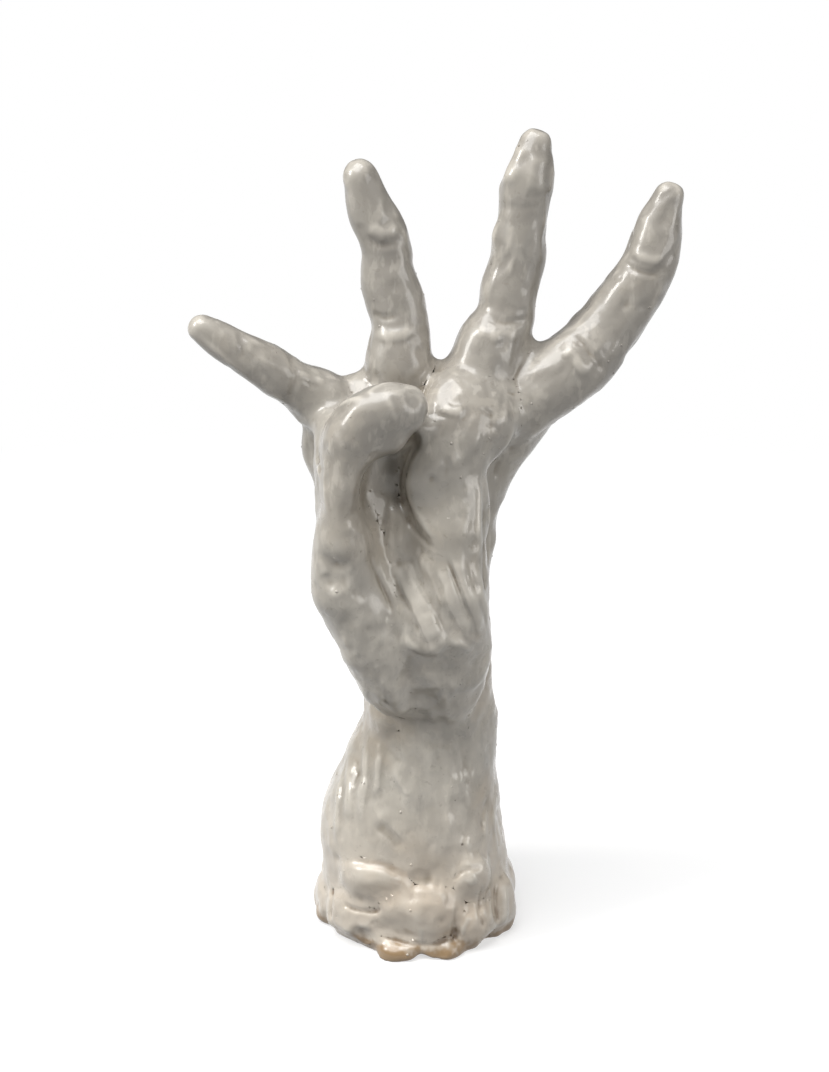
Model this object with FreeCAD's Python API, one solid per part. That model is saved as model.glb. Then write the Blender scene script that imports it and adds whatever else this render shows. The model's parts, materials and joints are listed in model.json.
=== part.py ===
import FreeCAD, Part
import math
import os

from FreeCAD import Vector

# A hand standing on its forearm, built up from separate pieces of clay, luted together with slip and glazed.
# The palm faces the front (-Y), the thumb folds over it, and the four fingers fan out upwards.
# The forearm is an open clay tube; its bore runs on into the heel of the hand, so that the piece can be fired.
# Lengths are millimetres. The solids are built about the forearm's axis and are moved at the end, so that
# the origin is at the middle of the bottom of the whole object's bounding box.

# forearm and neck
forearm_height = 92.0
foot_width = 76.0
foot_depth = 70.0
neck_width = 53.0
neck_depth = 48.0
neck_shift = 6.0
clay_wall = 9.0
lap_length = 9.0

# palm, whose middle stands beside the forearm's axis
hand_shift = 4.8
palm_length = 142.0
palm_width = 92.0
palm_thickness = 29.0

# pieces pressed on the palm
mound_width = 29.0
mound_depth = 32.0
heel_width = 44.0
heel_depth = 35.0
outer_pad_width = 36.0
outer_pad_depth = 26.0
back_slab_width = 72.0
back_slab_depth = 17.0

# thumb
thumb_length = 78.0
thumb_width = 17.0
thumb_depth = 21.0

# fingers, from the root inside the palm to the tip
index_length = 68.0
index_width = 20.0
middle_length = 89.0
middle_width = 21.5
ring_length = 105.0
ring_width = 22.0
little_length = 112.0
little_width = 22.5

# which way each finger points: splay turns it towards the little finger's side, lean towards the front
index_splay = -54.4
index_lean = 8.5
middle_splay = -9.5
middle_lean = -5.7
ring_splay = 14.2
ring_lean = -7.0
little_splay = 33.8
little_lean = -8.0

# the tapered peg at each finger's root, pressed into a socket in the palm
peg_length = 15.0
peg_width = 11.0

# torn pads of clay round the foot
pad_span = 30.0
pad_thickness = 13.0
pad_height = 26.0
pad_sink = 1.6

overrun = 5.0
box_fineness = 0.05

ring_points = 14
squareness = 2.3
dome_turns = (30.0, 55.0, 74.0)
pad_turns = (-78.0, -58.0, -34.0, -12.0, 12.0, 34.0, 58.0, 78.0)
peg_taper_share = 0.7

right = Vector(1, 0, 0)
front = Vector(0, -1, 0)
up = Vector(0, 0, 1)

# forearm rings: height share of the forearm, share of the way from foot to neck size, shift share
forearm_ring_shares = [
    (0.00, 0.00, 0.00),
    (0.13, -0.04, 0.00),
    (0.27, -0.02, -0.05),
    (0.42, 0.05, -0.34),
    (0.56, 0.18, -0.28),
    (0.70, 0.46, 0.02),
    (0.82, 0.70, 0.44),
    (0.91, 0.88, 0.80),
    (1.00, 1.00, 1.00),
]

# palm rings: height share of its length, then sideways share of its width and forward share of its thickness,
# counted from the neck's axis, then width and depth shares of its width and thickness
palm_ring_shares = [
    (0.085, 0.000, 0.07, 0.555, 1.55),
    (0.197, -0.008, 0.14, 0.555, 1.45),
    (0.338, -0.035, 0.17, 0.593, 1.28),
    (0.479, -0.060, 0.17, 0.660, 1.10),
    (0.620, -0.066, 0.14, 0.772, 1.00),
    (0.760, -0.052, 0.10, 0.945, 0.97),
    (0.852, 0.008, 0.10, 1.030, 0.93),
    (0.915, 0.040, 0.10, 1.000, 0.86),
    (0.965, 0.068, 0.10, 0.890, 0.69),
    (0.993, 0.070, 0.10, 0.640, 0.41),
]
palm_top_shares = (1.0, 0.070, 0.10, 0.40, 0.20)

# the bore in the heel of the hand: height share, sideways share, forward share, width share, depth share
palm_bore_shares = [
    (0.10, 0.008, 0.07, 0.36, 0.95),
    (0.25, -0.005, 0.14, 0.36, 0.80),
    (0.40, -0.040, 0.17, 0.40, 0.58),
    (0.50, -0.052, 0.17, 0.36, 0.36),
]

# pieces laid on the palm. Each ring's place is in the palm's shares; the last two are shares of its own size
mound_ring_shares = [
    (0.085, -0.118, 0.76, 0.41, 0.38),
    (0.141, -0.157, 0.90, 0.66, 0.69),
    (0.225, -0.196, 1.00, 0.84, 0.88),
    (0.324, -0.244, 1.05, 0.97, 1.00),
    (0.422, -0.300, 1.08, 1.00, 1.00),
    (0.521, -0.338, 1.12, 0.90, 0.92),
    (0.606, -0.348, 1.18, 0.72, 0.78),
    (0.665, -0.346, 1.22, 0.58, 0.66),
]
heel_ring_shares = [
    (0.042, -0.022, 0.69, 0.60, 0.40),
    (0.099, -0.011, 0.70, 0.88, 0.62),
    (0.190, 0.010, 0.79, 1.00, 0.84),
    (0.280, 0.024, 0.92, 0.99, 0.96),
    (0.345, 0.024, 0.94, 0.96, 1.00),
    (0.430, 0.014, 0.86, 0.92, 0.88),
    (0.563, 0.000, 0.75, 0.86, 0.72),
    (0.676, -0.012, 0.65, 0.68, 0.55),
    (0.732, -0.018, 0.59, 0.42, 0.34),
]
outer_pad_ring_shares = [
    (0.570, 0.111, 0.86, 0.33, 0.38),
    (0.606, 0.100, 0.88, 0.67, 0.70),
    (0.683, 0.073, 0.86, 0.86, 0.92),
    (0.775, 0.073, 0.81, 0.89, 1.00),
    (0.852, 0.122, 0.72, 0.97, 0.96),
    (0.915, 0.176, 0.59, 1.00, 0.81),
    (0.972, 0.214, 0.38, 0.83, 0.54),
    (1.000, 0.220, 0.28, 0.50, 0.31),
]
back_slab_ring_shares = [
    (0.028, 0.002, -0.52, 0.56, 0.70),
    (0.099, -0.009, -0.52, 0.64, 0.94),
    (0.232, -0.020, -0.41, 0.71, 1.00),
    (0.408, -0.041, -0.29, 0.82, 1.00),
    (0.585, -0.063, -0.24, 0.92, 0.94),
    (0.725, -0.063, -0.24, 1.00, 0.88),
    (0.830, -0.030, -0.24, 1.00, 0.76),
    (0.887, -0.020, -0.21, 0.78, 0.53),
]

# thumb rings: up, sideways and forward shares of its length from its root, then width and depth shares
thumb_root_shares = (0.577, -0.350, 1.24)
thumb_ring_shares = [
    (0.000, 0.000, -0.060, 1.14, 1.55),
    (0.128, 0.005, -0.060, 1.06, 1.65),
    (0.260, 0.004, -0.056, 0.96, 1.66),
    (0.385, 0.005, -0.044, 0.96, 1.60),
    (0.500, 0.020, -0.020, 1.00, 1.42),
    (0.606, 0.067, 0.024, 1.05, 1.12),
    (0.676, 0.147, 0.050, 1.07, 0.92),
    (0.704, 0.237, 0.046, 1.05, 0.86),
    (0.697, 0.314, 0.030, 0.97, 0.80),
]
thumb_dome_share = 0.09

# finger rings: reach, sideways and forward shares of the finger's length from its root, then its width share
index_root_shares = (0.877, -0.356, 0.17)
index_ring_shares = [
    (0.00, -0.012, 0.00, 1.28),
    (0.10, -0.010, 0.00, 1.17),
    (0.25, 0.000, 0.01, 1.02),
    (0.40, -0.003, 0.02, 0.90),
    (0.54, 0.002, 0.02, 0.85),
    (0.68, -0.006, 0.02, 0.73),
    (0.80, -0.014, 0.01, 0.67),
    (0.92, -0.018, 0.00, 0.54),
]
middle_root_shares = (0.930, -0.128, 0.17)
middle_ring_shares = [
    (0.000, 0.000, 0.00, 1.10),
    (0.100, 0.018, 0.00, 1.13),
    (0.190, 0.039, -0.01, 1.12),
    (0.290, 0.059, -0.02, 1.01),
    (0.385, 0.053, -0.03, 1.04),
    (0.485, 0.041, -0.03, 0.98),
    (0.580, 0.050, -0.03, 0.88),
    (0.675, 0.049, -0.02, 0.88),
    (0.775, 0.018, -0.01, 0.82),
    (0.890, 0.002, 0.00, 0.66),
]
ring_root_shares = (0.908, 0.165, 0.17)
ring_ring_shares = [
    (0.000, -0.005, 0.00, 1.22),
    (0.107, 0.006, 0.00, 1.22),
    (0.215, 0.028, -0.01, 1.18),
    (0.290, 0.044, -0.02, 1.05),
    (0.360, 0.051, -0.03, 1.00),
    (0.445, 0.041, -0.03, 0.98),
    (0.530, 0.043, -0.03, 0.95),
    (0.615, 0.029, -0.02, 0.92),
    (0.705, 0.020, -0.01, 0.83),
    (0.755, 0.012, -0.01, 0.87),
    (0.845, 0.007, 0.00, 0.77),
    (0.925, 0.000, 0.00, 0.58),
]
little_root_shares = (0.830, 0.318, 0.24)
little_ring_shares = [
    (0.000, -0.010, 0.00, 0.76),
    (0.070, 0.000, 0.00, 0.98),
    (0.146, 0.012, 0.00, 1.16),
    (0.267, 0.052, -0.01, 1.24),
    (0.385, 0.089, -0.02, 1.16),
    (0.509, 0.098, -0.03, 1.06),
    (0.606, 0.100, -0.03, 1.01),
    (0.699, 0.096, -0.02, 0.93),
    (0.784, 0.073, -0.01, 0.87),
    (0.866, 0.038, -0.01, 0.73),
    (0.945, 0.014, 0.00, 0.52),
]

# torn pads: name, bearing in degrees from the front towards the right, height share of the pad height,
# then span, thickness and height shares. Each one is pressed over the edges of those above it in the list
foot_pad_shares = [
    ("foot_flap_left", -25.0, 1.16, 1.22, 0.62, 0.86),
    ("foot_flap_right", 35.0, 1.16, 0.66, 0.62, 0.70),
    ("foot_pad_back_left", -129.0, 0.44, 1.42, 0.72, 0.98),
    ("foot_pad_back_right", 128.0, 0.42, 1.36, 0.72, 0.94),
    ("foot_pad_back", 178.0, 0.50, 1.46, 0.82, 1.10),
    ("foot_knob_right", 88.0, 0.60, 0.70, 0.62, 0.54),
    ("foot_roll_left", -81.0, 0.32, 0.80, 0.60, 0.86),
    ("foot_tongue", 4.0, 0.10, 1.20, 1.32, 0.52),
    ("foot_pad_front_left", -40.0, 0.50, 1.16, 0.78, 0.86),
    ("foot_pad_front_right", 33.0, 0.38, 0.80, 0.96, 0.86),
    ("foot_pad_front", 2.0, 0.68, 1.12, 1.00, 1.04),
    ("foot_roll_right", 62.0, 0.42, 0.84, 0.86, 1.10),
]


def eased(value):
    """A sine or cosine drawn out a little, so that a ring is squarer than an ellipse."""
    return math.copysign(abs(value) ** (2 / squareness), value)


def ring(centre, side, face, half_width, half_depth):
    """A closed smooth wire about centre, half_width along side and half_depth along face."""
    points = []
    for number in range(ring_points):
        turn = 2 * math.pi * number / ring_points
        points.append(
            centre
            + side * (half_width * eased(math.cos(turn)))
            + face * (half_depth * eased(math.sin(turn)))
        )
    curve = Part.BSplineCurve()
    curve.interpolate(Points=points, PeriodicFlag=True)
    return Part.Wire(curve.toShape())


def way_along(rings, number):
    """The direction in which a row of rings runs at one of them."""
    before = rings[max(number - 1, 0)][0]
    after = rings[min(number + 1, len(rings) - 1)][0]
    return (after - before).normalize()


def loft(rings, level=False, dome=0.0):
    """A solid through rings of (centre, half width, half depth). Level rings lie flat. A dome rounds the end."""
    wires = []
    for number, (centre, half_width, half_depth) in enumerate(rings):
        way = up if level else way_along(rings, number)
        side = way.cross(front).normalize()
        face = side.cross(way).normalize()
        wires.append(ring(centre, side, face, half_width, half_depth))
    if dome:
        for turn in dome_turns:
            rise = dome * math.sin(math.radians(turn))
            narrowing = math.cos(math.radians(turn))
            wires.append(
                ring(centre + way * rise, side, face, half_width * narrowing, half_depth * narrowing)
            )
    return Part.makeLoft(wires, True, False)


def palm_point(height_share, side_share, forward_share):
    """A place on the hand, counted from its own middle at the joint with the forearm."""
    return (
        right * (hand_shift + palm_width * side_share)
        + front * (palm_thickness * forward_share)
        + up * (forearm_height + palm_length * height_share)
    )


def palm_rings(rows, width, depth):
    """Rings placed by the palm's shares, whose own sizes are shares of width and depth."""
    return [
        (palm_point(height, side, forward), width * wide / 2, depth * deep / 2)
        for height, side, forward, wide, deep in rows
    ]


def forearm_rings(thinning):
    """The forearm's rings, drawn in by a wall's thickness for its bore."""
    rings = []
    for height, neck, shift in forearm_ring_shares:
        width = foot_width + (neck_width - foot_width) * neck
        depth = foot_depth + (neck_depth - foot_depth) * neck
        centre = right * (neck_shift * shift) + up * (forearm_height * height)
        rings.append((centre, width / 2 - thinning, depth / 2 - thinning))
    return rings


def forearm_outside():
    return loft(forearm_rings(0), level=True)


def collar_block():
    """The lower half of the lap joint, where the hand's collar sits inside the forearm's rim."""
    half_wall = loft(forearm_rings(clay_wall / 2), level=True)
    below = Part.makeBox(2 * foot_width, 2 * foot_depth, forearm_height - lap_length)
    below.translate(Vector(-foot_width, -foot_depth, 0))
    return half_wall.cut(below)


def forearm_tube(outside, bore, collar):
    """The forearm is a tube of even wall, open at the foot; its upper rim is thinned for the hand's collar."""
    return outside.cut([bore, collar])


def neck_ring(thinning):
    """The ring at which the hand meets the forearm, drawn in by a wall's thickness for the bore."""
    centre = right * neck_shift + up * forearm_height
    return centre, neck_width / 2 - thinning, neck_depth / 2 - thinning


def palm_outside():
    """The body of the hand as it looks from outside, standing on the forearm's rim."""
    rows = palm_ring_shares + [palm_top_shares]
    return loft([neck_ring(0)] + palm_rings(rows, palm_width, palm_thickness), level=True)


def palm_bore():
    """The end of the forearm's bore, inside the heel of the hand."""
    rings = palm_rings(palm_bore_shares, palm_width, palm_thickness)
    return loft([neck_ring(clay_wall)] + rings, level=True)


def laid_piece(rows, width, depth):
    """A lump of clay laid along the palm."""
    return loft(palm_rings(rows, width, depth))


def thumb():
    """The thumb stands on its mound and hooks over the hollow of the palm."""
    root = palm_point(*thumb_root_shares)
    rings = []
    for rise, side, forward, wide, deep in thumb_ring_shares:
        centre = root + (up * rise + right * side + front * forward) * thumb_length
        rings.append((centre, thumb_width * wide / 2, thumb_depth * deep / 2))
    return loft(rings, dome=thumb_length * thumb_dome_share)


def finger_ways(splay, lean):
    """The finger's own directions: along it, across it and out of its front."""
    turn = math.radians(splay)
    tilt = math.radians(lean)
    reach_way = (right * math.sin(turn) + up * math.cos(turn)) * math.cos(tilt) + front * math.sin(tilt)
    side_way = right * math.cos(turn) - up * math.sin(turn)
    return reach_way, side_way, side_way.cross(reach_way)


def finger(root_shares, length, width, splay, lean, rows):
    """A rolled finger, from its root inside the palm to its domed tip."""
    reach_way, side_way, face_way = finger_ways(splay, lean)
    root = palm_point(*root_shares)
    rings = []
    for reach, side, forward, wide in rows:
        centre = root + (reach_way * reach + side_way * side + face_way * forward) * length
        rings.append((centre, width * wide / 2, width * wide / 2))
    return loft(rings, dome=length * (1 - rows[-1][0]))


def finger_peg(root_shares, splay, lean):
    """The tapered peg that runs on from a finger's root into the palm."""
    reach_way = finger_ways(splay, lean)[0]
    root = palm_point(*root_shares)
    narrow = peg_width * peg_taper_share / 2
    return Part.makeCone(narrow, peg_width / 2, 2 * peg_length, root - reach_way * peg_length, reach_way)


def foot_pad(bearing, height, span, thick, tall):
    """A lump pressed round the outside of the foot, before its neighbours are cut away."""
    half_angle = math.degrees(pad_span * span / foot_width)
    rings = []
    for turn in pad_turns:
        place = math.radians(bearing + half_angle * math.sin(math.radians(turn)))
        outward = right * math.sin(place) + front * math.cos(place)
        centre = (
            right * (foot_width / 2 * eased(math.sin(place)))
            + front * (foot_depth / 2 * eased(math.cos(place)))
            + up * (pad_height * height)
            - outward * pad_sink
        )
        narrowing = math.cos(math.radians(turn))
        half_height = pad_height * tall / 2 * narrowing
        half_thickness = (pad_thickness * thick / 2 + pad_sink) * narrowing
        rings.append(ring(centre, -outward, up, half_thickness, half_height))
    return Part.makeLoft(rings, True, False)


def floor_block():
    """Everything below the surface that the foot stands on."""
    reach = foot_width + foot_depth + pad_thickness
    block = Part.makeBox(2 * reach, 2 * reach, pad_height + overrun)
    block.translate(Vector(-reach, -reach, -(pad_height + overrun)))
    return block


def largest_solid(shape):
    """The main lump of a cut piece, without slivers that a cut has left."""
    return max(shape.Solids, key=lambda solid: solid.Volume)


def hollowed(shape, neighbours):
    """What is left of a piece after each neighbour that reaches it has been cut away."""
    for neighbour in neighbours:
        if shape.BoundBox.intersect(neighbour.BoundBox):
            shape = largest_solid(shape.cut(neighbour))
    return shape


def hand_pieces(outside, bore, collar):
    """The hand's pieces in the order in which they are pressed on; each is hollowed where it meets the others."""
    palm = palm_outside()
    roots = {
        "little_finger": (little_root_shares, little_length, little_width, little_splay, little_lean),
        "ring_finger": (ring_root_shares, ring_length, ring_width, ring_splay, ring_lean),
        "middle_finger": (middle_root_shares, middle_length, middle_width, middle_splay, middle_lean),
        "index_finger": (index_root_shares, index_length, index_width, index_splay, index_lean),
    }
    rows = {
        "little_finger": little_ring_shares,
        "ring_finger": ring_ring_shares,
        "middle_finger": middle_ring_shares,
        "index_finger": index_ring_shares,
    }
    laid = {
        "thumb_mound": laid_piece(mound_ring_shares, mound_width, mound_depth),
        "thumb": thumb(),
        "outer_palm_pad": laid_piece(outer_pad_ring_shares, outer_pad_width, outer_pad_depth),
        "heel_pad": laid_piece(heel_ring_shares, heel_width, heel_depth),
        "back_slab": laid_piece(back_slab_ring_shares, back_slab_width, back_slab_depth),
    }
    made = {}
    placed = [outside, palm]
    pegs = []
    for name, (root, length, width, splay, lean) in roots.items():
        raw = finger(root, length, width, splay, lean, rows[name])
        peg = finger_peg(root, splay, lean).common(palm)
        made[name] = largest_solid(hollowed(raw, placed).fuse(peg))
        placed.append(raw)
        pegs.append(peg)
    for name, raw in laid.items():
        made[name] = hollowed(raw, placed)
        placed.append(raw)
    made["palm_core"] = largest_solid(hollowed(palm, [palm_bore()] + pegs).fuse(collar.cut(bore)))
    return made


def foot_pieces(outside):
    """The torn pads round the foot, flat where they stand on the floor."""
    made = {}
    placed = [outside, floor_block()]
    for name, bearing, height, span, thick, tall in reversed(foot_pad_shares):
        raw = foot_pad(bearing, height, span, thick, tall)
        made[name] = hollowed(raw, placed)
        placed.append(raw)
    return made


def all_pieces():
    outside = forearm_outside()
    bore = loft(forearm_rings(clay_wall), level=True)
    collar = collar_block()
    pieces = {"forearm_tube": forearm_tube(outside, bore, collar)}
    pieces.update(hand_pieces(outside, bore, collar))
    pieces.update(foot_pieces(outside))
    return pieces


def box_bottom_centre(pieces):
    """The middle of the bottom of the pieces' box, from points on their surfaces, as the poles of a loft lie outside it."""
    box = FreeCAD.BoundBox()
    for piece in pieces:
        for point in piece.tessellate(box_fineness)[0]:
            box.add(point)
    return Vector(box.Center.x, box.Center.y, box.ZMin)


def main():
    pieces = all_pieces()
    shift = -box_bottom_centre(pieces.values())
    os.makedirs("parts", exist_ok=True)
    for name, piece in pieces.items():
        piece.translate(shift)
        piece.exportStep(os.path.join("parts", name + ".step"))
        print(name, "valid" if piece.isValid() else "NOT VALID", round(piece.Volume), "mm3")
    print("forearm axis at", round(shift.x, 2), round(shift.y, 2))


main()
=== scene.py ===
import json
import math

import bpy
import numpy as np
import openvdb as vdb
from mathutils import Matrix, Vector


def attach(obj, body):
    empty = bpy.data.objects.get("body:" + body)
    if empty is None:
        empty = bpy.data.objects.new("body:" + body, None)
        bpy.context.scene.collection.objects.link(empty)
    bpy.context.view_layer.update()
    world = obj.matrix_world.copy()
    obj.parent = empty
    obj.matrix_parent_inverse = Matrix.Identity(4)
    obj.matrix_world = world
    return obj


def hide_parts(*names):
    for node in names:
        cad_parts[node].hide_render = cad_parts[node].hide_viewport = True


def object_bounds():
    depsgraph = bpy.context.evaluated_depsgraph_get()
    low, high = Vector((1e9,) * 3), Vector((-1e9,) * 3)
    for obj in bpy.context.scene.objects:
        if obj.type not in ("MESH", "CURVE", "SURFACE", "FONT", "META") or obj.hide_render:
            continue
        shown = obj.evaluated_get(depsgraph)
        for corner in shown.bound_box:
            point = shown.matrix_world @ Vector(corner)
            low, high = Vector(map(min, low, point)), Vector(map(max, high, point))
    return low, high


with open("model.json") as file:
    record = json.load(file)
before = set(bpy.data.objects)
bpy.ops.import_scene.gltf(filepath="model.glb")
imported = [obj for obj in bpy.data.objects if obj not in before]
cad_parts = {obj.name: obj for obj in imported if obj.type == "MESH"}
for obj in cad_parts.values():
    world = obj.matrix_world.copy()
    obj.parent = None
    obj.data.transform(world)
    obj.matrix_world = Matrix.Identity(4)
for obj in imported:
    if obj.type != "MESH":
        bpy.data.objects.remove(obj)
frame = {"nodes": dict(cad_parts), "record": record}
cadBox = [list(corner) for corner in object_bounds()]

# Sculpting is done in millimetres about the forearm's axis: x to the little finger's side, y to the back,
# z up. The clay is a distance field on a grid, negative inside, made from the CAD solids. Strokes are laid
# on it and pressed into it, and then it is divided again into one closed piece for each CAD node.

clay = {
    "axisX": -7.54,
    "axisY": 4.55,
    "voxel": 0.76,
    "band": 8.0,                        # how far from the skin distances are known
    "margin": 3.0,                      # of the grid round the solids
    "seamFill": 0.7,                    # half the width of the gaps that slip fills between the pieces,
    "smearFill": 3.2,                   # of those that it was smeared into, and of more at foot and palm
    "footFill": 5.0, "footTop": 46.0, "footFade": 10.0,
    "palmFill": 7.0, "palmFoot": 138.0, "palmFootFade": 12.0, "palmTop": 226.0, "palmTopFade": 8.0,
    "glazeFill": 0.45,                  # how far the glaze softens corners
    "seed": 11,
}
axisPlace = np.array([clay["axisX"], clay["axisY"], 0.0])
voxel = clay["voxel"]
band = clay["band"]
draw = np.random.default_rng(clay["seed"])

# the camera, estimated from the picture: pixels, degrees, and millimetres
view = {
    "width": 829, "height": 1072,
    "elevation": 20.0, "distance": 800.0, "aimX": -0.58, "aimZ": 165.0,
    "lens": 68.94, "sensor": 36.0,
}


# distances on the grid

def meshArrays(source):
    mesh = source.data
    mesh.calc_loop_triangles()
    points = np.empty(len(mesh.vertices) * 3, np.float32)
    mesh.vertices.foreach_get("co", points)
    corners = np.empty(len(mesh.loop_triangles) * 3, np.int32)
    mesh.loop_triangles.foreach_get("vertices", corners)
    return points.reshape(-1, 3) * 1000 - axisPlace, corners.reshape(-1, 3)


boxLow = np.array(cadBox[0]) * 1000 - axisPlace - clay["margin"]
boxHigh = np.array(cadBox[1]) * 1000 - axisPlace + clay["margin"]
start = np.floor(boxLow / voxel).astype(int)
size = np.floor(boxHigh / voxel).astype(int) + 1 - start
axes = [((start[k] + np.arange(size[k])) * voxel).astype(np.float32) for k in range(3)]
gridTransform = vdb.createLinearTransform(voxelSize=voxel)


def firstCell(cells):
    return tuple(int(start[k] + cells[k].start) for k in range(3))


def levelSet(points, triangles, quads, cells):
    # the distance to a closed mesh in some of the grid's cells
    level = vdb.FloatGrid.createLevelSetFromPolygons(
        np.ascontiguousarray(points, np.float32), np.ascontiguousarray(triangles, np.uint32),
        np.ascontiguousarray(quads, np.uint32), gridTransform, band / voxel, band / voxel)
    values = np.empty([c.stop - c.start for c in cells], np.float32)
    level.copyToArray(values, firstCell(cells))
    return values


def skinOf(values, cells):
    # the mesh where the distance is nought
    level = vdb.FloatGrid(band)
    level.transform = gridTransform
    level.copyFromArray(np.ascontiguousarray(values, np.float32), firstCell(cells))
    return level.convertToPolygons(0.0, 0.0)


def cellsBetween(low, high):
    first = np.clip(np.floor(np.asarray(low) / voxel).astype(int) - start, 0, size - 1)
    last = np.clip(np.ceil(np.asarray(high) / voxel).astype(int) + 1 - start, 1, size)
    return tuple(slice(int(a), int(b)) for a, b in zip(first, last))


def placesOf(cells):
    return [axes[k][cells[k]].reshape([-1 if j == k else 1 for j in range(3)]) for k in range(3)]


def sampled(values, points, low=(0, 0, 0)):
    # values at points between the cells of a block that begins at the cell low
    place = points / voxel - start - np.asarray(low)
    base = np.clip(np.floor(place).astype(int), 0, np.array(values.shape) - 2)
    share = np.clip(place - base, 0, 1)
    total = 0
    for corner in range(8):
        pick = [(corner >> k) & 1 for k in range(3)]
        weight = 1.0
        for k in range(3):
            weight = weight * (share[:, k] if pick[k] else 1 - share[:, k])
        total = total + weight * values[base[:, 0] + pick[0], base[:, 1] + pick[1], base[:, 2] + pick[2]]
    return total


def slopeOf(values, points, low=(0, 0, 0), step=0.7):
    reach = step * voxel
    slope = np.stack([
        sampled(values, points + aside, low) - sampled(values, points - aside, low)
        for aside in reach * np.eye(3)], 1)
    return slope / (2 * reach)


def unit(vectors):
    return vectors / np.maximum(np.linalg.norm(vectors, axis=-1, keepdims=True), 1e-9)


nodeNames = sorted(frame["nodes"])
everywhere = tuple(slice(0, int(n)) for n in size)
nodeCells = {}
nodeDistance = {}


def joinNodes():
    joined = np.full(tuple(size), band, np.float32)
    nothing = np.zeros((0, 4), np.uint32)
    for name in nodeNames:
        points, triangles = meshArrays(frame["nodes"][name])
        cells = cellsBetween(points.min(0) - band, points.max(0) + band)
        distance = levelSet(points, triangles, nothing, cells)
        nodeCells[name] = cells
        nodeDistance[name] = distance
        joined[cells] = np.minimum(joined[cells], distance)
    return joined


def closed(values, reach):
    # hollows narrower than twice the reach are filled: the skin is moved out and in again
    points, triangles, quads = skinOf(values - reach, everywhere)
    return levelSet(points, triangles, quads, everywhere) + reach


def eased(share):
    share = np.clip(share, 0, 1)
    return share * share * (3 - 2 * share)


def fresh(values):
    # true distances again
    points, triangles, quads = skinOf(values, everywhere)
    return levelSet(points, triangles, quads, everywhere)


field = closed(joinNodes(), clay["seamFill"])
field = np.minimum(field, closed(field, clay["smearFill"]))      # slip smeared into the joints
gridHeight = placesOf(everywhere)[2]
atFoot = eased((clay["footTop"] - gridHeight) / clay["footFade"])
atPalm = eased((gridHeight - clay["palmFoot"]) / clay["palmFootFade"])
atPalm = atPalm * eased((clay["palmTop"] - gridHeight) / clay["palmTopFade"])
field = field + (np.minimum(field, closed(field, clay["footFill"])) - field) * atFoot
field = field + (np.minimum(field, closed(field, clay["palmFill"])) - field) * atPalm
field = fresh(field)
print("clay field", field.shape)


# strokes on the clay: each is placed on the picture, and lines of sight from the camera carry it to the clay

tilt = math.radians(view["elevation"])
lookWay = np.array([0, math.cos(tilt), -math.sin(tilt)])
riseWay = np.array([0, math.sin(tilt), math.cos(tilt)])
eye = np.array([view["aimX"], 0, view["aimZ"]]) - view["distance"] * lookWay
sight = {"steps": 220, "stride": 0.8, "shortest": 0.05, "touch": 0.03}      # the last two in millimetres


def onClay(spots):
    spots = np.atleast_2d(np.asarray(spots, float))
    perPixel = view["sensor"] / view["height"] / view["lens"]
    away = (lookWay + (spots[:, :1] - view["width"] / 2) * perPixel * np.array([1.0, 0, 0])
            - (spots[:, 1:] - view["height"] / 2) * perPixel * riseWay)
    away = unit(away)
    points = eye + away * ((boxLow[1] - eye[1]) / away[:, 1])[:, None]
    nearest = points.copy()
    least = np.full(len(points), band)
    # each point steps along its line of sight and keeps the place where it came nearest to the clay
    for turn in range(sight["steps"]):
        gap = sampled(field, points)
        closer = gap < least
        least[closer] = gap[closer]
        nearest[closer] = points[closer]
        stride = np.maximum(gap * sight["stride"], sight["shortest"])
        points = points + away * np.where(least > sight["touch"], stride, 0)[:, None]
    for turn in range(3):
        normal = unit(slopeOf(field, nearest))
        nearest = nearest - normal * sampled(field, nearest)[:, None]
    return nearest, unit(slopeOf(field, nearest, step=2.0))


def smoothPath(spots, spacing):
    # a curve through the spots, divided evenly
    spots = np.asarray(spots, float)
    if len(spots) == 1:
        return spots
    ends = np.vstack([2 * spots[0] - spots[1], spots, 2 * spots[-1] - spots[-2]])
    fine = []
    for k in range(len(spots) - 1):
        a, b, c, d = ends[k:k + 4]
        t = np.linspace(0, 1, 12, endpoint=False)[:, None]
        fine.append(0.5 * (2 * b + (c - a) * t + (2 * a - 5 * b + 4 * c - d) * t ** 2
                           + (3 * b - a - 3 * c + d) * t ** 3))
    fine = np.vstack(fine + [spots[-1:]])
    run = np.r_[0, np.cumsum(np.linalg.norm(np.diff(fine, axis=0), axis=1))]
    count = max(2, int(round(run[-1] / spacing)) + 1)
    even = np.linspace(0, run[-1], count)
    return np.stack([np.interp(even, run, fine[:, k]) for k in range(2)], 1)


def rodDistance(cells, a, b, ra, rb):
    # the distance to a tapering rod with round ends
    x, y, z = placesOf(cells)
    a = np.asarray(a, np.float32)
    along = np.asarray(b, np.float32) - a
    length = max(float(along @ along), 1e-6)
    share = ((x - a[0]) * along[0] + (y - a[1]) * along[1] + (z - a[2]) * along[2]) / length
    share = np.clip(share, 0, 1)
    away = np.sqrt((x - a[0] - share * along[0]) ** 2 + (y - a[1] - share * along[1]) ** 2
                   + (z - a[2] - share * along[2]) ** 2)
    return away - (ra + (rb - ra) * share)


def blendMin(one, other, blend):
    # both forms, with a fillet where they meet
    near = np.maximum(blend - np.abs(one - other), 0) / blend
    return np.minimum(one, other) - near * near * blend / 4


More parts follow.
